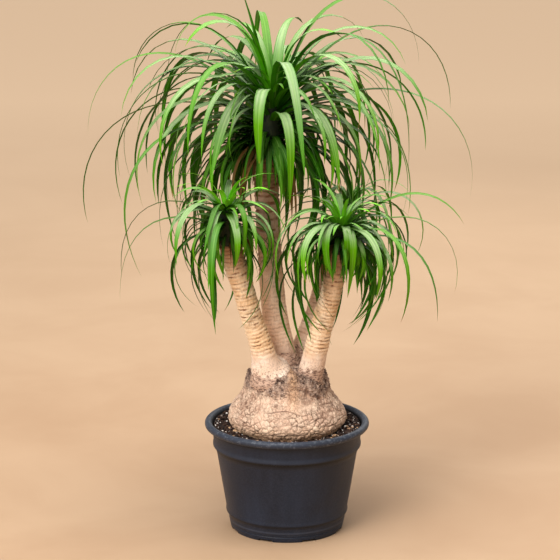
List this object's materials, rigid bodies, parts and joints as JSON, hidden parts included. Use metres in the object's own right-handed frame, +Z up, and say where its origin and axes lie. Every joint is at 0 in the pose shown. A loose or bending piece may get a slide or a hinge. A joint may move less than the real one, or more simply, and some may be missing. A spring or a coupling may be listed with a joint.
{
  "type": "potted ponytail palm",
  "caption": "Potted ponytail palm: a swollen corky base carrying ringed trunks with heads of long arching strap leaves, in a plain round nursery pot.",
  "frame": {"origin": "middle of the pot's flat underside", "axes": "+Z up along the pot's axis towards the tallest leaf head, -Y towards the side with the two lower heads in front, +X to the right as seen from that side"},
  "size_m": [0.6205, 0.497, 0.8755],
  "materials": {
    "pot_plastic": "satin",
    "potting_soil": "matte",
    "bark": "matte",
    "leaf": "satin",
    "young_leaf": "satin"
  },
  "bodies": {
    "root": {"pot": "pot_plastic", "soil": "potting_soil", "trunk": "bark", "crown_left": "young_leaf", "crown_right": "leaf", "crown_back": "leaf", "crown_centre": "leaf"}
  },
  "joints": []
}
